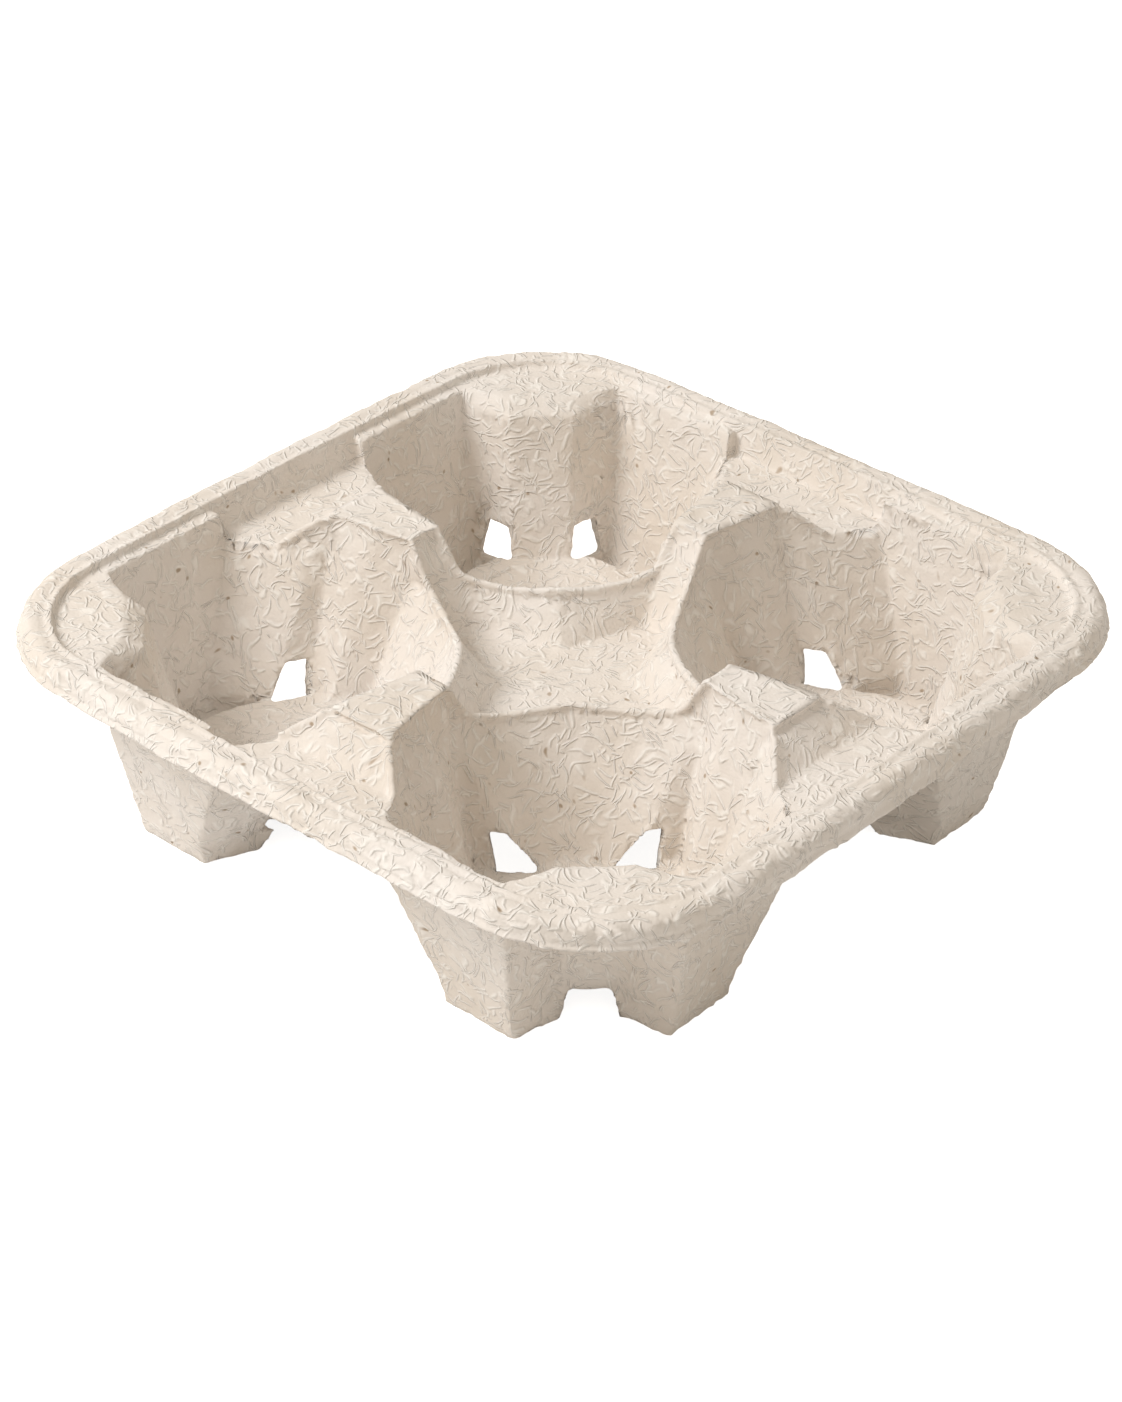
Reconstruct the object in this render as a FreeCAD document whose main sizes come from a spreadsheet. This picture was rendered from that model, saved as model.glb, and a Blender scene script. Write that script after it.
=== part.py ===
import FreeCAD, Part
import math
import os
import Sketcher
from FreeCAD import Placement, Rotation, Vector

# Four-cup carrier tray, moulded from pulp as one sheet with four pockets round a basin.
# Origin under the middle of the tray, on the plane that its feet stand on, Z up, millimetres.

NODE = "carrier_tray"
POCKETS = 4

# Driving sizes

SIZES = {
    # the sheet and the four pockets
    "wall": 2.2,
    "trayHeight": 51.5,
    "pocketPitch": 99.0,
    # rim: bowed sides, rounded corners, raised bead and lip turned down
    "flangeWidth": 12.5,
    "sideBow": 2.6,
    "cornerRadius": 40.0,
    "lipDrop": 6.0,
    "beadWidth": 9.0,
    "beadRoll": 3.6,
    "beadFootInset": 0.54,
    "beadShoulderDrop": 1.26,
    "beadShoulderInset": 1.62,
    "beadUnderInset": 2.16,
    "flangeDrop": 2.0,
    # outer panel of a pocket, along the side of the tray
    "panelReach": 34.1,
    "panelLean": 8.9,
    "panelFootNear": 9.5,
    "panelFootFar": 8.5,
    "panelTopNear": 28.0,
    "panelTopFar": 13.5,
    # tongue in the outer corner of a pocket
    "tongueFloorReach": 20.5,
    "tongueTopReach": 30.0,
    "tongueFloorHalf": 7.0,
    "tongueTopHalf": 8.5,
    "tongueDrop": 5.0,
    "tongueSlope": 8.0,
    # ridge between two pockets
    "ridgeInnerBack": 2.6,
    "ridgeInnerHalf": 4.45,
    "ridgeOuterReach": 20.25,
    "ridgeOuterHalf": 8.1,
    "ridgeEndBevel": 1.6,
    # wall of a pocket under the ridge, at the cup floor
    "ridgeFootReach": 26.5,
    "ridgeFootFold": 7.5,
    "ridgeFootEnd": 15.0,
    "sideFootReach": 19.5,
    "sideFootDrop": 16.5,
    "fluteFootReach": 0.2,
    "fluteFootDepth": 7.2,
    # middle panel of a pocket, a cone that stops at the scallop
    "scallopHeight": 40.0,
    "scallopBack": 4.9,
    "scallopFluteBack": 2.4,
    "coneFloorRadius": 23.5,
    "coneFloorEdge": 5.5,
    # cup floor with its sunk dish
    "floorHeight": 8.5,
    "discRadius": 25.0,
    "dishRadius": 18.5,
    "dishDepth": 0.8,
    # hollow feet under the outer panels
    "footTaper": 1.5,
    "footSkirt": 2.4,
    "footEnd": 10.0,
    "footTip": 3.6,
    # basin in the middle of the tray, a star with four points
    "basinHeight": 28.0,
    "basinTip": 33.0,
    "basinTipHalf": 3.5,
    "basinWaist": 10.6,
    "basinTopWaist": 26.9,
    # ledge at the middle of each side
    "ledgeDrop": 8.5,
    "ledgeSlope": 8.75,
    "ledgeFootHalf": 21.0,
    "ledgeRimHalf": 25.5,
    "ledgeRise": 2.0,
    # windows at the foot of the pocket walls
    "windowTop": 16.3,
    "windowSill": 3.2,
    "windowInset": 1.5,
    "windowDepth": 4.5,
    "windowCone": 3.0,
}

# Where a foot's wall round the cup floor starts, as an angle from the middle of the pocket
FOOT_ARC_START = math.radians(-28)

# Windows: wall corners that each lies between, and its ends there as shares, low and high
TONGUE_WINDOW = (0, 1, (0.08, 0.90), (0.15, 0.62))
FLANK_WINDOW = (3, 4, (0.02, 1.00), (0.20, 0.85))
CONE_WINDOW = (7, 6, (0.00, 0.60), (0.00, 0.45))
# Pockets with windows beside the tongue: all but the one at +X -Y
TONGUE_WINDOW_POCKETS = 3


class Size:
    """A length with the formula that gives it from the sheet."""

    def __init__(self, value, formula):
        self.value = value
        self.formula = formula

    def joined(self, other, sign, value):
        text = other.formula if isinstance(other, Size) else repr(float(other))
        return Size(value, "(" + self.formula + sign + text + ")")

    def __add__(self, other):
        return self.joined(other, " + ", self.value + number(other))

    def __sub__(self, other):
        return self.joined(other, " - ", self.value - number(other))

    def __mul__(self, other):
        return self.joined(other, " * ", self.value * number(other))

    def __truediv__(self, other):
        return self.joined(other, " / ", self.value / number(other))

    def __neg__(self):
        return self * -1.0


def number(size):
    return size.value if isinstance(size, Size) else float(size)


document = FreeCAD.newDocument("CupCarrier")
sheet = document.addObject("Spreadsheet::Sheet", "Sizes")
for row, (name, value) in enumerate(SIZES.items(), start=1):
    sheet.set("A%d" % row, name)
    sheet.set("B%d" % row, str(value))
    sheet.setAlias("B%d" % row, name)
document.recompute()

s = {name: Size(float(sheet.get(name)), "Sizes." + name) for name in SIZES}
ground = Size(0.0, "0")
half = 0.5

body = document.addObject("PartDesign::Body", "Tray")
body.Label = NODE
groundPlane = [f for f in body.Origin.OriginFeatures if f.Role == "XY_Plane"][0]
upAxis = [f for f in body.Origin.OriginFeatures if f.Role == "Z_Axis"][0]


# Sketches: every corner is held by its distances from the middle of the tray

def levelSketch(name, height):
    sketch = body.newObject("Sketcher::SketchObject", name)
    sketch.AttachmentSupport = [(groundPlane, "")]
    sketch.MapMode = "FlatFace"
    sketch.AttachmentOffset = Placement(Vector(0, 0, number(height)), Rotation())
    sketch.setExpression("AttachmentOffset.Base.z", height.formula)
    return sketch


def holdPoint(sketch, geometry, end, point, axes=(0, 1)):
    for axis in axes:
        kind, size = ("DistanceX", "DistanceY")[axis], point[axis]
        if number(size) < 0:
            constraint = Sketcher.Constraint(kind, geometry, end, -1, 1, -number(size))
            formula = "-1 * " + size.formula
        else:
            constraint = Sketcher.Constraint(kind, -1, 1, geometry, end, number(size))
            formula = size.formula
        index = sketch.addConstraint(constraint)
        sketch.setExpression("Constraints[%d]" % index, formula)


def vector(point):
    return Vector(number(point[0]), number(point[1]), 0)


def arcEnd(start, centrePoint, end):
    """The end of an arc, on its circle, with the axis along which it is held there."""
    radius = (start - centrePoint).Length
    out = end - centrePoint
    if abs(out.x) < abs(out.y):
        out.y = math.copysign(math.sqrt(radius ** 2 - out.x ** 2), out.y)
        return centrePoint + out, 0
    out.x = math.copysign(math.sqrt(radius ** 2 - out.y ** 2), out.x)
    return centrePoint + out, 1


def closedOutline(sketch, corners):
    """Lines from corner to corner; a corner with a third entry starts an arc about that point."""
    points = [vector(corner) for corner in corners]
    heldAlong = [(0, 1)] * len(corners)
    for index, corner in enumerate(corners):
        if len(corner) == 3:
            following = (index + 1) % len(corners)
            points[following], axis = arcEnd(points[index], vector(corner[2]), points[following])
            heldAlong[following] = (axis,)
    edges = []
    for index, corner in enumerate(corners):
        start, end = points[index], points[(index + 1) % len(corners)]
        if len(corner) == 3:
            middle = vector(corner[2])
            spokes = [start - middle, end - middle]
            turnsLeft = spokes[0].cross(spokes[1]).z > 0
            angles = [math.atan2(spoke.y, spoke.x) for spoke in (spokes if turnsLeft else spokes[::-1])]
            if angles[1] < angles[0]:
                angles[1] += 2 * math.pi
            circle = Part.Circle(middle, Vector(0, 0, 1), spokes[0].Length)
            edge = sketch.addGeometry(Part.ArcOfCircle(circle, angles[0], angles[1]), False)
            edges.append((edge, 1, 2) if turnsLeft else (edge, 2, 1))
            holdPoint(sketch, edge, 3, corner[2])
        else:
            edges.append((sketch.addGeometry(Part.LineSegment(start, end), False), 1, 2))
    for index, (edge, first, last) in enumerate(edges):
        nextEdge, nextFirst, nextLast = edges[(index + 1) % len(edges)]
        sketch.addConstraint(Sketcher.Constraint("Coincident", edge, last, nextEdge, nextFirst))
        holdPoint(sketch, edge, first, corners[index], heldAlong[index])
    return sketch


def outlineAt(name, height, corners):
    return closedOutline(levelSketch(name, height), corners)


def edgeDirection(corners, index, atEnd):
    """Direction of the edge that starts at a corner, at its start or its end."""
    start, end = vector(corners[index]), vector(corners[(index + 1) % len(corners)])
    if len(corners[index]) == 2:
        return (end - start).normalize()
    spoke = (end if atEnd else start) - vector(corners[index][2])
    tangent = Vector(-spoke.y, spoke.x, 0).normalize()
    return tangent if tangent.dot(end - start) > 0 else -tangent


def grown(corners, amount):
    """The outline with every edge moved out by an amount."""
    count = len(corners)
    points = [vector(corner) for corner in corners]
    area = sum(points[i].x * points[(i + 1) % count].y - points[(i + 1) % count].x * points[i].y
               for i in range(count))
    outline = []
    for index, corner in enumerate(corners):
        normals = []
        for direction in (edgeDirection(corners, index - 1, True), edgeDirection(corners, index, False)):
            out = Vector(direction.y, -direction.x, 0)
            normals.append(out if area > 0 else -out)
        shift = (normals[0] + normals[1]) * (1 / max(1 + normals[0].dot(normals[1]), half))
        moved = [corner[0] + amount * shift.x, corner[1] + amount * shift.y]
        outline.append(tuple(moved + list(corner[2:])))
    return outline


def between(first, second, share):
    return tuple(a + (b - a) * share for a, b in zip(first, second))


# Features, each added to the tray or cut from it

def report(feature):
    state = [word for word in feature.State if word in ("Invalid", "Error")]
    if state or feature.Shape.isNull() or not feature.Shape.isValid():
        raise RuntimeError("%s didn't come out: %s" % (feature.Name, feature.getStatusString()))
    print("%-22s volume %9.0f  faces %4d" % (feature.Name, feature.Shape.Volume, len(feature.Shape.Faces)))


def shaped(feature):
    before = body.Tip.Shape.Volume if body.Tip and feature != body.Tip else 0
    body.Tip = feature
    document.recompute()
    report(feature)
    if "Subtractive" in feature.TypeId or "Pocket" in feature.TypeId:
        if feature.Shape.Volume > before:
            raise RuntimeError(feature.Name + " cuts nothing")
    return feature


def loft(name, sections, cuts=False):
    kind = "PartDesign::SubtractiveLoft" if cuts else "PartDesign::AdditiveLoft"
    before = body.Tip
    feature = body.newObject(kind, name)
    body.Tip = before
    feature.Profile = sections[0]
    feature.Sections = sections[1:]
    feature.Ruled = True
    return shaped(feature)


def pad(name, sketch, length, cuts=False):
    before = body.Tip
    feature = body.newObject("PartDesign::Pocket" if cuts else "PartDesign::Pad", name)
    body.Tip = before
    feature.Profile = sketch
    feature.Length = number(length)
    feature.setExpression("Length", length.formula)
    return shaped(feature)


def roundTheTray(name, features, pockets=POCKETS):
    pattern = body.newObject("PartDesign::PolarPattern", name)
    pattern.Originals = features
    pattern.Axis = (upAxis, [""])
    pattern.Angle = 360 if pockets == POCKETS else 360 / POCKETS * (pockets - 1)
    pattern.Occurrences = pockets
    body.Tip = pattern
    document.recompute()
    report(pattern)
    return pattern


# Outlines of a pocket, seen from above, for the pocket at +X +Y

centre = s["pocketPitch"] / 2.0
top = s["trayHeight"]
tongueKnee = top - s["tongueDrop"]
diagonal = math.sqrt(half)


def atPocket(along, across):
    return (centre + along, centre + across)


def onDiagonal(reach, side):
    return atPocket((reach + side) * diagonal, (reach - side) * diagonal)


def swapped(corners):
    """The same corners on the other side of the pocket's diagonal."""
    return [tuple([corner[1], corner[0]] + [(c[1], c[0]) for c in corner[2:]]) for corner in corners]


def floorHalf():
    """From the tongue round to the edge of the middle panel, on the +X side of the diagonal."""
    return [
        onDiagonal(s["tongueFloorReach"], s["tongueFloorHalf"]),
        atPocket(s["panelReach"], s["panelFootFar"]),
        atPocket(s["panelReach"], -s["panelFootNear"]),
        atPocket(s["sideFootReach"], -s["sideFootDrop"]),
        atPocket(s["ridgeFootEnd"], -s["ridgeFootReach"]),
        atPocket(s["ridgeFootFold"], -s["ridgeFootReach"]),
        atPocket(s["fluteFootReach"], -(s["ridgeFootReach"] + s["fluteFootDepth"])),
        atPocket(-s["coneFloorEdge"], -s["coneFloorRadius"]),
    ]


def topHalf(tongueReach):
    panelTop = s["panelReach"] + s["panelLean"]
    inner = (centre - s["ridgeInnerBack"], s["ridgeInnerHalf"])
    outer = (centre + s["ridgeOuterReach"], s["ridgeOuterHalf"])
    return [
        onDiagonal(tongueReach, s["tongueTopHalf"]),
        atPocket(panelTop, s["panelTopFar"]),
        atPocket(panelTop, -s["panelTopNear"]),
        (outer[0] + s["ridgeEndBevel"], outer[1] + s["ridgeEndBevel"] * half),
        outer,
        between(inner, outer, half),
        between(inner, outer, s["wall"] / (s["ridgeOuterReach"] + s["ridgeInnerBack"]) * half),
        inner,
    ]


def leaningHalf(height):
    """The walls at a height between the cup floor and the knee of the tongue."""
    share = (height - s["floorHeight"]) / (top - s["floorHeight"])
    tongueShare = (height - s["floorHeight"]) / (tongueKnee - s["floorHeight"])
    low, high = floorHalf(), topHalf(s["tongueTopReach"])
    corners = [between(a, b, share) for a, b in zip(low, high)]
    corners[0] = between(low[0], high[0], tongueShare)
    return corners


def scallopHalf():
    corners = leaningHalf(s["scallopHeight"])
    corners[6] = (centre - s["scallopFluteBack"], s["ridgeInnerHalf"] + s["ridgeEndBevel"] * half)
    corners[7] = (centre - s["scallopBack"], s["ridgeInnerHalf"])
    return corners


def kneeHalf():
    return leaningHalf(tongueKnee)[:6] + topHalf(s["tongueTopReach"])[6:]


def wholePocket(corners):
    """Both sides of the diagonal, joined by the arc of the middle panel."""
    corners = list(corners)
    corners[-1] = corners[-1] + ((centre, centre),)
    otherSide = [corner[:2] for corner in reversed(swapped(corners))]
    return corners + otherSide


pocketLevels = [
    ("Floor", s["floorHeight"], s["wall"], wholePocket(floorHalf())),
    ("Scallop", s["scallopHeight"], s["wall"] * half, wholePocket(scallopHalf())),
    ("Knee", tongueKnee, s["wall"] * half, wholePocket(kneeHalf())),
    ("Top", top, ground, wholePocket(topHalf(s["tongueTopReach"] + s["tongueSlope"]))),
]

# Rim outlines: four bowed sides and four round corners, each held by its centre and radius

halfWidth = centre + s["panelReach"] + s["panelLean"] + s["flangeWidth"]
sideRadius = (halfWidth * halfWidth + s["sideBow"] * s["sideBow"]) / (s["sideBow"] * 2.0)
QUARTER = math.pi / 2


def rimOutline(name, height, inset, islands=()):
    sketch = levelSketch(name, height)
    back = sideRadius - halfWidth
    reach = sideRadius - inset
    corner = s["cornerRadius"] - inset
    gap = number(sideRadius) - number(s["cornerRadius"])
    cornerAt = (-number(back) + (2 * gap ** 2 - number(back) ** 2) ** half) / 2
    join = Vector(cornerAt + number(back), cornerAt, 0).getAngle(Vector(1, 0, 0))
    arcs = []
    for turn in range(4):
        spin = Rotation(Vector(0, 0, 1), 90 * turn)
        start = QUARTER * turn
        side = Part.Circle(spin.multVec(Vector(-number(back), 0, 0)), Vector(0, 0, 1), number(reach))
        bend = Part.Circle(spin.multVec(Vector(cornerAt, cornerAt, 0)), Vector(0, 0, 1), number(corner))
        arcs.append(sketch.addGeometry(Part.ArcOfCircle(side, start - join, start + join), False))
        arcs.append(sketch.addGeometry(Part.ArcOfCircle(bend, start + join, start + QUARTER - join), False))
        centrePoint = [(-back, ground), (ground, -back), (back, ground), (ground, back)][turn]
        holdPoint(sketch, arcs[-2], 3, centrePoint)
    for index, arc in enumerate(arcs):
        sketch.addConstraint(Sketcher.Constraint("Tangent", arc, 2, arcs[(index + 1) % 8], 1))
        size = corner if index % 2 else reach
        radius = sketch.addConstraint(Sketcher.Constraint("Radius", arc, number(size)))
        sketch.setExpression("Constraints[%d]" % radius, size.formula)
    for island in islands:
        closedOutline(sketch, island)
    return sketch


def quarterTurns(corners):
    """The same corners at each of the four quarter turns."""
    turns = [corners]
    for _ in range(3):
        turns.append([(-y, x) for x, y in turns[-1]])
    return turns


lipFoot = top - s["lipDrop"]
flange = top - s["flangeDrop"]
flangeUnder = flange - s["wall"]

# Rim with its bead and lip, hollow below

rimLevels = [
    (lipFoot, ground),
    (top - s["beadRoll"], s["beadFootInset"]),
    (top - s["beadShoulderDrop"], s["beadShoulderInset"]),
    (top, s["beadRoll"]),
]
loft("RimOuter", [rimOutline("RimOuter%d" % i, z, d) for i, (z, d) in enumerate(rimLevels)])
hollowLevels = [
    (lipFoot, s["wall"]),
    (top - s["beadRoll"] - s["wall"] * half, s["wall"] + s["beadFootInset"]),
    (top - s["wall"], s["wall"] + s["beadUnderInset"]),
]
loft("RimHollow", [rimOutline("RimHollow%d" % i, z, d) for i, (z, d) in enumerate(hollowLevels)], True)

ridgeEnd = centre + s["ridgeOuterReach"]
ridgeWide = s["ridgeOuterHalf"] + s["wall"] * half
ridgeStart = s["basinTip"]
ridgePlan = [(ridgeStart, -ridgeWide), (ridgeEnd, -ridgeWide), (ridgeEnd, ridgeWide), (ridgeStart, ridgeWide)]
plate = rimOutline("FlangePlan", flangeUnder, s["beadWidth"] - s["wall"], quarterTurns(ridgePlan))
pad("Flange", plate, s["wall"])

# Feet under the outer panels, with their wall round the cup floor

nearToTip = Vector(number(s["panelReach"] - s["sideFootReach"]),
                   number(s["sideFootDrop"] - s["panelFootNear"]), 0).normalize()


def footOutline(taper, skirt, tip):
    """The outer panel, its two ends and an arc round the cup floor."""
    reach = s["panelReach"] - taper
    radius = s["discRadius"] + skirt
    onArc = math.sqrt(number(radius) ** 2 - number(s["footEnd"]) ** 2)
    return [
        atPocket(onArc, s["footEnd"]),
        atPocket(reach, s["panelFootFar"]),
        atPocket(reach, -s["panelFootNear"]),
        atPocket(s["sideFootReach"] + tip * nearToTip.x, -s["sideFootDrop"] + tip * nearToTip.y),
        atPocket(radius * math.cos(FOOT_ARC_START), radius * math.sin(FOOT_ARC_START))
        + ((centre, centre),),
    ]


footLevels = [
    ("Base", s["wall"], s["wall"], footOutline(s["footTaper"], s["footSkirt"], s["footTip"])),
    ("Floor", s["floorHeight"], s["wall"], footOutline(ground, ground, ground)),
]

# Basin in the middle and ledges at the sides


def basinOutline(tip, tipHalf, waist):
    outline = []
    for turn in quarterTurns([(tip, tipHalf), (waist, waist), (tipHalf, tip)]):
        outline = outline + turn
    return outline


basinLevels = [
    ("Floor", s["basinHeight"], s["wall"], basinOutline(s["basinTip"], s["basinTipHalf"], s["basinWaist"])),
    ("Top", top, ground,
     basinOutline(centre - s["ridgeInnerBack"], s["ridgeInnerHalf"] + s["ridgeEndBevel"], s["basinTopWaist"])),
]

bead = halfWidth - s["beadWidth"]
ledgeFoot = ridgeEnd + s["ledgeSlope"]
ledgeLevels = [
    ("Foot", top - s["ledgeDrop"], s["wall"], [
        (ledgeFoot, -s["ledgeFootHalf"]), (bead - s["ledgeRise"], -s["ledgeRimHalf"]),
        (bead - s["ledgeRise"], s["ledgeRimHalf"]), (ledgeFoot, s["ledgeFootHalf"])]),
    ("Top", top, ground, [
        (ridgeEnd, -s["ledgeFootHalf"]), (bead, -s["ledgeRimHalf"]),
        (bead, s["ledgeRimHalf"]), (ridgeEnd, s["ledgeFootHalf"])]),
]


def outerSections(name, levels):
    return [outlineAt(name + part, height - drop, grown(corners, s["wall"]))
            for part, height, drop, corners in levels]


def innerSections(name, levels):
    return [outlineAt(name + part, height, corners) for part, height, drop, corners in levels]


def otherFoot(levels):
    return [(part, height, drop, swapped(corners)) for part, height, drop, corners in levels]


# Outer forms, added

roundTheTray("OuterForms", [
    loft("PocketOuter", outerSections("PocketOuter", pocketLevels)),
    loft("FootOuter", outerSections("FootOuter", footLevels)),
    loft("OtherFootOuter", outerSections("OtherFootOuter", otherFoot(footLevels))),
    loft("LedgeOuter", outerSections("LedgeOuter", ledgeLevels)),
])
loft("BasinOuter", outerSections("BasinOuter", basinLevels))

# Inner forms, cut from above

well = rimOutline("WellPlan", top, s["beadWidth"], quarterTurns(ridgePlan))
pad("Well", well, s["flangeDrop"], True)
loft("Basin", innerSections("Basin", basinLevels), True)

dish = levelSketch("DishPlan", s["floorHeight"])
circle = dish.addGeometry(Part.Circle(vector((centre, centre)), Vector(0, 0, 1), number(s["dishRadius"])), False)
holdPoint(dish, circle, 3, (centre, centre))
radius = dish.addConstraint(Sketcher.Constraint("Radius", circle, number(s["dishRadius"])))
dish.setExpression("Constraints[%d]" % radius, s["dishRadius"].formula)


def windowOutline(first, second):
    """A slot through a wall, from one point of the wall to another."""
    along = (vector(second) - vector(first)).normalize()
    out = Vector(along.y, -along.x, 0)
    if out.dot(vector(first) - vector((centre, centre))) < 0:
        out = -out
    corners = []
    for point, depth in ((first, -s["windowInset"]), (second, -s["windowInset"]),
                         (second, s["windowDepth"]), (first, s["windowDepth"])):
        corners.append((point[0] + depth * out.x, point[1] + depth * out.y))
    return corners


def windowSections(name, window, reach, other):
    start, end, low, high = window
    sections = []
    for part, height, ends in (("Low", s["floorHeight"] - s["windowSill"], low),
                               ("High", s["windowTop"], high)):
        corners = leaningHalf(height)
        coneShare = (height - s["floorHeight"]) / (s["scallopHeight"] - s["floorHeight"])
        corners[6:] = [between(a, b, coneShare) for a, b in zip(floorHalf()[6:], scallopHalf()[6:])]
        points = [between(corners[start], corners[end], share) for share in ends]
        share = (s["windowTop"] - height) / (s["windowTop"] - s["floorHeight"])
        points[0] = (points[0][0] - reach * share, points[0][1] + reach * share * half)
        outline = windowOutline(points[0], points[1])
        sections.append(outlineAt(name + part, height, swapped(outline) if other else outline))
    return sections


cuts = [loft("Pocket", innerSections("Pocket", pocketLevels), True),
        loft("Foot", innerSections("Foot", footLevels), True),
        loft("OtherFoot", innerSections("OtherFoot", otherFoot(footLevels)), True),
        loft("Ledge", innerSections("Ledge", ledgeLevels), True),
        pad("Dish", dish, s["dishDepth"], True)]


def windowPair(name, window, reach):
    return [loft(name, windowSections(name, window, reach, False), True),
            loft("Other" + name, windowSections("Other" + name, window, reach, True), True)]


cuts += windowPair("FlankWindow", FLANK_WINDOW, ground) + windowPair("ConeWindow", CONE_WINDOW, s["windowCone"])
roundTheTray("InnerForms", cuts)
roundTheTray("TongueWindows", windowPair("TongueWindow", TONGUE_WINDOW, ground), TONGUE_WINDOW_POCKETS)

# Checks, and the piece on its own

for item in document.Objects:
    if [word for word in item.State if word in ("Invalid", "Error")]:
        raise RuntimeError(item.Name + " isn't up to date")
shape = body.Shape
if shape.isNull() or not shape.isValid() or len(shape.Solids) != 1:
    raise RuntimeError("the tray isn't one valid solid")
box = shape.BoundBox
print("%s: %.1f x %.1f x %.1f, z from %.2f, volume %.0f, faces %d" % (
    NODE, box.XLength, box.YLength, box.ZLength, box.ZMin, shape.Volume, len(shape.Faces)))
os.makedirs("parts", exist_ok=True)
shape.exportStep("parts/" + NODE + ".step")
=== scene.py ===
import bmesh
import bpy
import math
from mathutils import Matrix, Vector, noise


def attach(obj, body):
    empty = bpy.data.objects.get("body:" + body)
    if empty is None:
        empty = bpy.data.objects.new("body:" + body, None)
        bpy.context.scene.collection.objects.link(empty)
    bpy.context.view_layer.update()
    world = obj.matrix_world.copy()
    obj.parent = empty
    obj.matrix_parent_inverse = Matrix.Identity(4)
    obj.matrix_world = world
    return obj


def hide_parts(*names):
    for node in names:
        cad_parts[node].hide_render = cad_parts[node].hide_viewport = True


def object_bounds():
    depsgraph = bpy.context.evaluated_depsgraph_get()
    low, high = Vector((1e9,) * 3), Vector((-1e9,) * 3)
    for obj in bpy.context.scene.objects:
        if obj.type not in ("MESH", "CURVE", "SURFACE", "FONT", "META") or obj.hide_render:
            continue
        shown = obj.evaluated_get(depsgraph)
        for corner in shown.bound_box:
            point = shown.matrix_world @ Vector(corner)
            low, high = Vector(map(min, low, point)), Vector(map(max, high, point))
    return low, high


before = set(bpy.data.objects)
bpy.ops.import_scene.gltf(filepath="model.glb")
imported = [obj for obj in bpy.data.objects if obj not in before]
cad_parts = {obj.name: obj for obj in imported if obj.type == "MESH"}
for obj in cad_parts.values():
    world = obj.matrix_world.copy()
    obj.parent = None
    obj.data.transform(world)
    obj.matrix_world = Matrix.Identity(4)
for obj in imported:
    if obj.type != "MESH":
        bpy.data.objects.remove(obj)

# Moulded-pulp cup carrier: the sheet, its rounded folds, the pressed fibres and the studio


def corners(bounds):
    return [list(corner) for corner in bounds]


cadBounds = corners(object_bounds())


def pick(*objects):
    bpy.ops.object.select_all(action="DESELECT")
    for obj in objects:
        obj.select_set(True)
    bpy.context.view_layer.objects.active = objects[0]


def applyModifier(obj, kind, **settings):
    pick(obj)
    bpy.ops.object.modifier_add(type=kind)
    modifier = obj.modifiers[-1]
    for name, value in settings.items():
        setattr(modifier, name, value)
    bpy.ops.object.modifier_apply(modifier=modifier.name)


# Tray: the frame's own solid, with soft folds and a lumpy sheet

tray = {
    "weld": 0.00002,
    "voxel": 0.00066,
    "roundPasses": 5,
    "roundShare": 0.5,
    "lumpSize": 0.014,
    "lumpHeight": 0.0004,
    "lumpOctaves": (0.7, 2.0, 2),
    "creaseSize": 0.0045,
    "creaseHeight": 0.0003,
    "creaseWarp": 0.6,
    "warpScale": 160,
    "warpShift": Vector((7, 3, 5)),
    "keepShare": 0.19,
}

# Outline of the rim, and its pressed lines as middle, width and depth
rim = {
    "lipGroove": (0.0473, 0.0006, 0.0005),
    "beadGroove": (0.0068, 0.0007, 0.0005),
    "sideRadius": 2.1215,
    "reach": 0.105,
    "cornerPlace": 0.0640,
    "cornerRadius": 0.040,
    "lipFoot": 0.0452,
    "lip": 0.0018,
    "beadFoot": 0.0496,
}

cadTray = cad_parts["carrier_tray"]
pick(cadTray)
bpy.ops.object.duplicate()
carrier = bpy.context.object
carrier.name = "carrier"
carrier.parent = None
for key in [key for key in carrier.keys() if key.startswith("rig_")]:
    del carrier[key]

bpy.ops.object.mode_set(mode="EDIT")
bpy.ops.mesh.select_all(action="SELECT")
bpy.ops.mesh.remove_doubles(threshold=tray["weld"])

# Crests between basin and pockets: a thick bead laid on each sharp edge, then grown into the sheet

crest = {
    "pocketPlace": 0.0495,
    "near": 0.0425,
    "far": 0.0465,
    "low": 0.036,
    "sharpness": math.radians(50),
    "thickness": 0.0011,
    "roundness": 2,
}


def onCrest(vertex):
    place = [abs(value) - crest["pocketPlace"] for value in vertex.co.xy]
    return vertex.co.z > crest["low"] and crest["near"] < math.hypot(*place) < crest["far"]


bpy.ops.mesh.select_mode(type="EDGE")
bpy.ops.mesh.select_all(action="DESELECT")
sheet = bmesh.from_edit_mesh(carrier.data)
for edge in sheet.edges:
    sharp = edge.is_manifold and edge.calc_face_angle_signed() > crest["sharpness"]
    edge.select_set(sharp and all(onCrest(vertex) for vertex in edge.verts))
print("crest edges", sum(edge.select for edge in sheet.edges))
bpy.ops.mesh.duplicate()
bpy.ops.mesh.separate(type="SELECTED")
bpy.ops.object.mode_set(mode="OBJECT")
bead = [obj for obj in bpy.context.selected_objects if obj != carrier][0]
pick(bead)
bpy.ops.object.convert(target="CURVE")
bead.data.bevel_depth = crest["thickness"]
bead.data.bevel_resolution = crest["roundness"]
bead.data.use_fill_caps = True
bpy.ops.object.convert(target="MESH")
pick(carrier, bead)
bpy.ops.object.join()

carrier.data.remesh_voxel_size = tray["voxel"]
carrier.data.remesh_voxel_adaptivity = 0
bpy.ops.object.voxel_remesh()
print("remeshed", len(carrier.data.vertices))
applyModifier(carrier, "SMOOTH", factor=tray["roundShare"], iterations=tray["roundPasses"])


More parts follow.
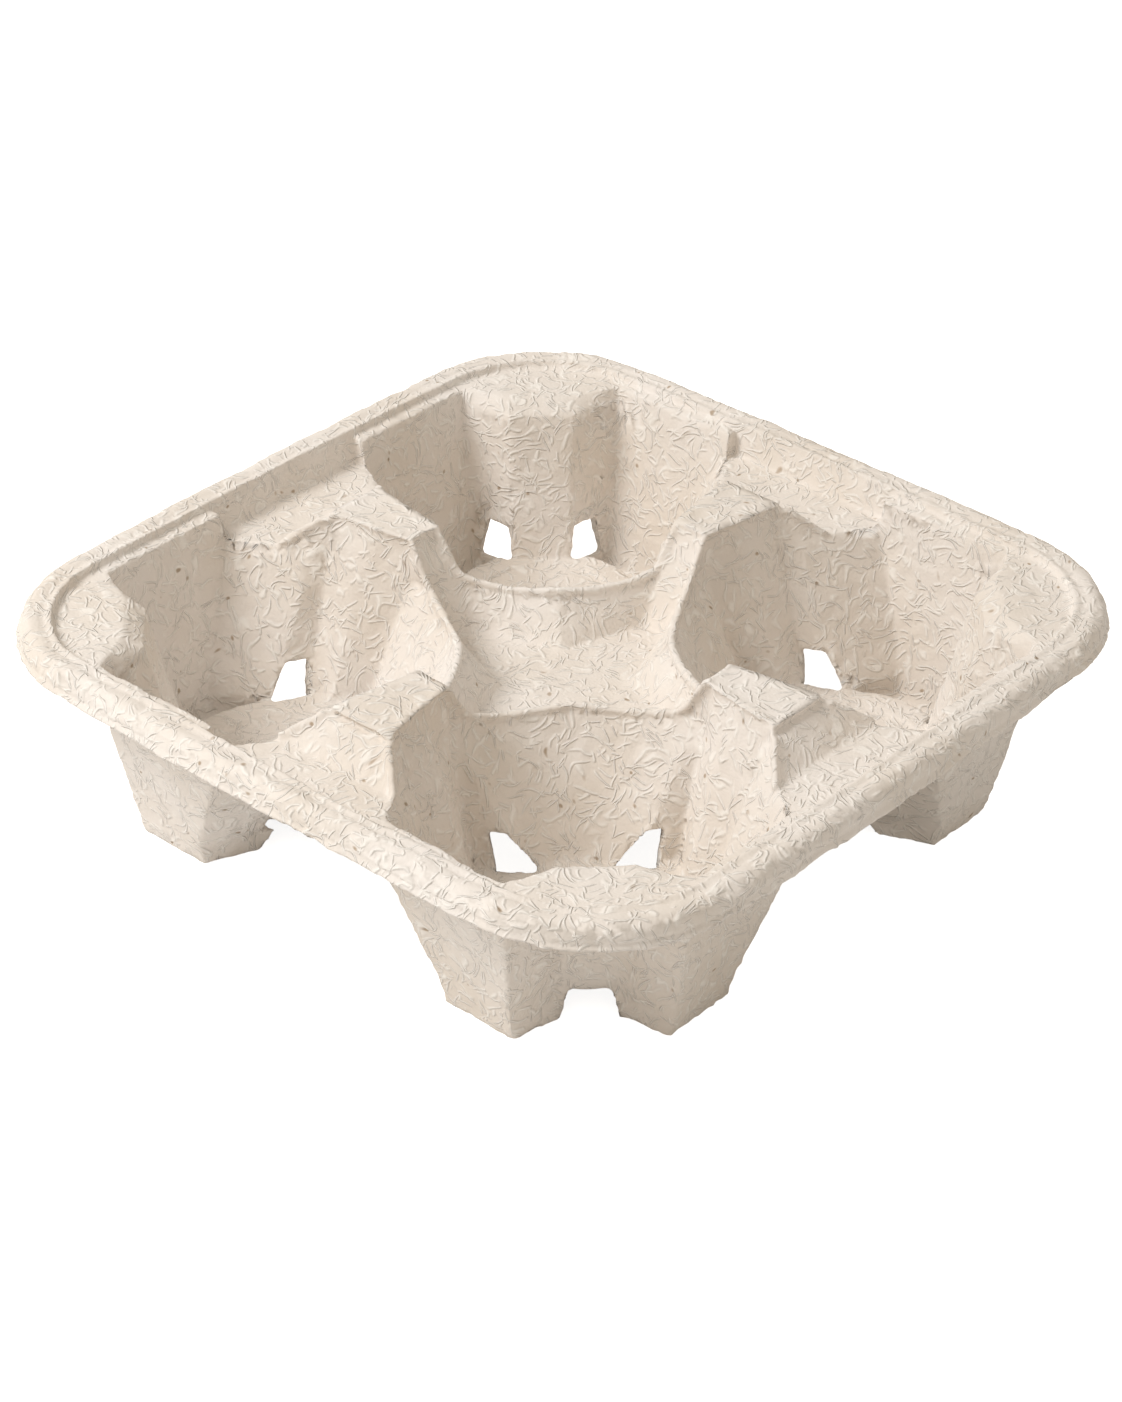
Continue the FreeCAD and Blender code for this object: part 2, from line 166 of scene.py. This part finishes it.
# How far a point lies inside the rim, whose sides bow and whose corners are round
def rimInset(point):
    x, y = sorted((abs(point.x), abs(point.y)))
    side = rim["sideRadius"] - math.hypot(y + rim["sideRadius"] - rim["reach"], x)
    if x < rim["cornerPlace"]:
        return side
    return rim["cornerRadius"] - math.hypot(x - rim["cornerPlace"], y - rim["cornerPlace"])


def groove(value, middle, width, depth):
    return depth * math.exp(-((value - middle) / width) ** 2)


# How far the wet sheet dried in or out at a point, with the pressed lines of the rim
def pulpHeight(point):
    lump = noise.fractal(point / tray["lumpSize"], *tray["lumpOctaves"])
    there = point * tray["warpScale"]
    warp = Vector((noise.noise(there), noise.noise(there + tray["warpShift"]), 0)) * tray["creaseWarp"]
    crease = 1 - 2 * abs(noise.noise(point / tray["creaseSize"] + warp))
    raised = lump * tray["lumpHeight"] + crease * tray["creaseHeight"] - tray["creaseHeight"]
    inset = rimInset(point)
    if point.z > rim["lipFoot"] and inset < rim["lip"]:
        raised -= groove(point.z, *rim["lipGroove"])
    if point.z > rim["beadFoot"]:
        raised -= groove(inset, *rim["beadGroove"])
    return raised


low, high = (Vector(corner) for corner in cadBounds)
normals = [vertex.normal.copy() for vertex in carrier.data.vertices]
for vertex, normal in zip(carrier.data.vertices, normals):
    moved = vertex.co + normal * pulpHeight(vertex.co)
    vertex.co = [min(max(value, least), most) for value, least, most in zip(moved, low, high)]
applyModifier(carrier, "DECIMATE", ratio=tray["keepShare"])
pick(carrier)
bpy.ops.object.shade_smooth()
print("tray", len(carrier.data.polygons))
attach(carrier, "root")
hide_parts("carrier_tray")

# Pulp: pale matte fibre with pressed strokes and small brown flecks; the strokes are painted paler, partly a
# fibre tint and partly painted highlight on the raised fibres

pulp = {
    "pale": (0.85, 0.80, 0.755, 1),
    "warm": (0.78, 0.71, 0.635, 1),
    # Paler stroke colour: partly the fibres' own tint, partly painted highlight on the raised strokes
    "strokeTintAndHighlight": (0.93, 0.90, 0.855, 1),
    "fleck": (0.36, 0.25, 0.15, 1),
    "cloudScale": 30.0,
    "cloudEdges": (0.35, 0.68),
    "strokeLayers": 5,
    "strokeCell": 0.0056,
    "strokeShrink": 0.09,
    "strokeShift": Vector((0.37, 0.61, 0.83)),
    "strokeStart": Vector((0.5, 0.8, 0.0)),
    "strokeTurn": Vector((1.0, 0.7, 1.3)),
    "strokeEnds": (0.5, 0.34),
    "strokeWidth": 0.00046,
    "strokeHeight": 0.00026,
    "strokeTintAndHighlightShare": 0.65,
    "bendScale": 150.0,
    "bendReach": 0.0062,
    "fleckScale": 330.0,
    "fleckEdges": (0.26, 0.12),
    "fleckPicked": (0.915, 0.96),
    "fleckDepth": 0.75,
    "grainScale": 1400.0,
    "grainDepth": 0.3,
    "roughness": 0.92,
    "sheen": 0.15,
    "middle": (0.5, 0.5, 0.5),
}

material = bpy.data.materials.new("pulp")
material.use_nodes = True
tree = material.node_tree
tree.nodes.clear()


def node(kind, inputs=None, **settings):
    made = tree.nodes.new(kind)
    for name, value in settings.items():
        setattr(made, name, value)
    for name, value in (inputs or {}).items():
        if isinstance(value, bpy.types.NodeSocket):
            tree.links.new(value, made.inputs[name])
        else:
            made.inputs[name].default_value = value
    return made


def ramp(value, ends):
    low, high = ends
    return node("ShaderNodeMapRange", {"Value": value, "From Min": low, "From Max": high}).outputs["Result"]


def mixed(share, first, second):
    return node("ShaderNodeMix", {0: share, 6: first, 7: second}, data_type="RGBA").outputs[2]


def worked(operation, first, second=0.0):
    return node("ShaderNodeMath", {0: first, 1: second}, operation=operation).outputs[0]


def vectors(operation, first, inputs=None):
    return node("ShaderNodeVectorMath", {0: first, **(inputs or {})}, operation=operation)


def offMiddle(value):
    return vectors("SUBTRACT", value, inputs={1: pulp["middle"]}).outputs[0]


place = node("ShaderNodeTexCoord").outputs["Object"]
bendNoise = node("ShaderNodeTexNoise", {"Vector": place, "Scale": pulp["bendScale"], "Detail": 0.0})
bend = vectors("SCALE", offMiddle(bendNoise.outputs["Color"]), inputs={"Scale": pulp["bendReach"]}).outputs[0]
curled = vectors("ADD", place, inputs={1: bend}).outputs[0]

# Curled fibres: each cell of a bent lattice holds one thin plane, seen where it meets the sheet
strokes = None
for layer in range(pulp["strokeLayers"]):
    cell = pulp["strokeCell"] * (1 - layer * pulp["strokeShrink"])
    turned = node("ShaderNodeMapping", {
        "Vector": curled, "Location": layer * pulp["strokeShift"],
        "Rotation": pulp["strokeStart"] + layer * pulp["strokeTurn"],
        "Scale": (1 / cell, 1 / cell, 1 / cell)}).outputs[0]
    index = vectors("FLOOR", turned).outputs[0]
    fromMiddle = offMiddle(vectors("FRACTION", turned).outputs[0])
    chance = node("ShaderNodeTexWhiteNoise", {"Vector": index}, noise_dimensions="3D")
    facing = vectors("NORMALIZE", offMiddle(chance.outputs["Color"])).outputs[0]
    offset = vectors("DOT_PRODUCT", fromMiddle, inputs={1: facing}).outputs["Value"]
    away = vectors("LENGTH", fromMiddle).outputs["Value"]
    line = node("ShaderNodeMapRange", {
        "Value": worked("ABSOLUTE", offset), "From Min": pulp["strokeWidth"] / cell, "From Max": 0.0},
        interpolation_type="SMOOTHSTEP").outputs["Result"]
    line = worked("MULTIPLY", line, ramp(away, pulp["strokeEnds"]))
    strokes = line if strokes is None else worked("MAXIMUM", strokes, line)

cloud = node("ShaderNodeTexNoise", {"Vector": place, "Scale": pulp["cloudScale"], "Detail": 2.0})
fleckCells = node("ShaderNodeTexVoronoi", {"Vector": curled, "Scale": pulp["fleckScale"]})
fleckNear = ramp(fleckCells.outputs["Distance"], pulp["fleckEdges"])
cellTone = node("ShaderNodeSeparateColor", {"Color": fleckCells.outputs["Color"]})
fleckPick = ramp(cellTone.outputs["Red"], pulp["fleckPicked"])
fleck = worked("MULTIPLY", worked("MULTIPLY", fleckNear, fleckPick), pulp["fleckDepth"])
grain = node("ShaderNodeTexNoise", {"Vector": place, "Scale": pulp["grainScale"], "Detail": 0.0})

colour = mixed(ramp(cloud.outputs["Fac"], pulp["cloudEdges"]), pulp["pale"], pulp["warm"])
# The raised strokes are painted paler: partly fibre tint, partly painted highlight where they catch the light
colour = mixed(worked("MULTIPLY", strokes, pulp["strokeTintAndHighlightShare"]), colour, pulp["strokeTintAndHighlight"])
colour = mixed(fleck, colour, pulp["fleck"])

height = worked("ADD", strokes, worked("MULTIPLY", grain.outputs["Fac"], pulp["grainDepth"]))
bump = node("ShaderNodeBump", {"Strength": 1.0, "Distance": pulp["strokeHeight"], "Height": height})
surface = node("ShaderNodeBsdfPrincipled", {
    "Base Color": colour, "Roughness": pulp["roughness"], "Normal": bump.outputs["Normal"],
    "Specular IOR Level": pulp["sheen"]})
node("ShaderNodeOutputMaterial", {"Surface": surface.outputs[0]})
carrier.data.materials.clear()
carrier.data.materials.append(material)

# Studio: white floor, one soft lamp from the upper left and a weak warm fill from all round

studio = {
    "floorSize": 6.0,
    "floorColour": (0.9, 0.9, 0.9, 1),
    "floorLift": 0.85,
    "worldColour": (1.0, 0.92, 0.81, 1),
    "worldLight": 0.56,
    "keyPlace": (-0.56, -0.70, 0.97),
    "keySize": 0.55,
    "keyPower": 10.9,
    "aim": (0, 0, 0.02),
}

bpy.ops.mesh.primitive_plane_add(size=studio["floorSize"], location=(0, 0, 0))
floor = bpy.context.object
floor.name = "floor"
floorMaterial = bpy.data.materials.new("floor")
floorMaterial.use_nodes = True
floorSurface = floorMaterial.node_tree.nodes["Principled BSDF"]
floorSurface.inputs["Base Color"].default_value = studio["floorColour"]
floorSurface.inputs["Roughness"].default_value = 1
floorSurface.inputs["Specular IOR Level"].default_value = 0
floorSurface.inputs["Emission Color"].default_value = (1, 1, 1, 1)
# The camera sees the floor lifted to white, and the tray is lit by the plain floor
seen = floorMaterial.node_tree.nodes.new("ShaderNodeLightPath")
lift = floorMaterial.node_tree.nodes.new("ShaderNodeMath")
lift.operation = "MULTIPLY"
lift.inputs[1].default_value = studio["floorLift"]
floorMaterial.node_tree.links.new(seen.outputs["Is Camera Ray"], lift.inputs[0])
floorMaterial.node_tree.links.new(lift.outputs[0], floorSurface.inputs["Emission Strength"])
floor.data.materials.append(floorMaterial)

world = bpy.data.worlds.new("studio")
bpy.context.scene.world = world
world.use_nodes = True
background = world.node_tree.nodes["Background"]
background.inputs["Color"].default_value = studio["worldColour"]
background.inputs["Strength"].default_value = studio["worldLight"]


def lamp(name, place, size, power):
    bpy.ops.object.light_add(type="AREA", location=place)
    made = bpy.context.object
    made.name = name
    made.data.size = size
    made.data.energy = power
    made.rotation_mode = "QUATERNION"
    made.rotation_quaternion = (Vector(studio["aim"]) - Vector(place)).to_track_quat("-Z", "Y")
    return made


lamp("key", studio["keyPlace"], studio["keySize"], studio["keyPower"])

# Camera at the photo's angle

shot = {
    "azimuth": math.radians(40.91),
    "elevation": math.radians(33.33),
    "roll": math.radians(0.97),
    "distance": 0.874,
    "aim": (-0.00066, -0.00057, 0.02294),
    "lens": 92.67,
    "sensor": 36,
    "nearest": 0.01,
}

level, up = math.cos(shot["elevation"]), math.sin(shot["elevation"])
back = Vector((math.sin(shot["azimuth"]) * level, -math.cos(shot["azimuth"]) * level, up))
bpy.ops.object.camera_add(location=Vector(shot["aim"]) + back * shot["distance"])
camera = bpy.context.object
camera.rotation_mode = "QUATERNION"
camera.rotation_quaternion = back.to_track_quat("Z", "Y")
pick(camera)
bpy.ops.transform.rotate(value=-shot["roll"], orient_axis="Z", orient_type="LOCAL",
                         center_override=camera.location)
camera.data.sensor_fit = "AUTO"
camera.data.sensor_width = shot["sensor"]
camera.data.lens = shot["lens"]
camera.data.clip_start = shot["nearest"]
bpy.context.scene.camera = camera
bpy.context.scene.view_settings.view_transform = "Standard"
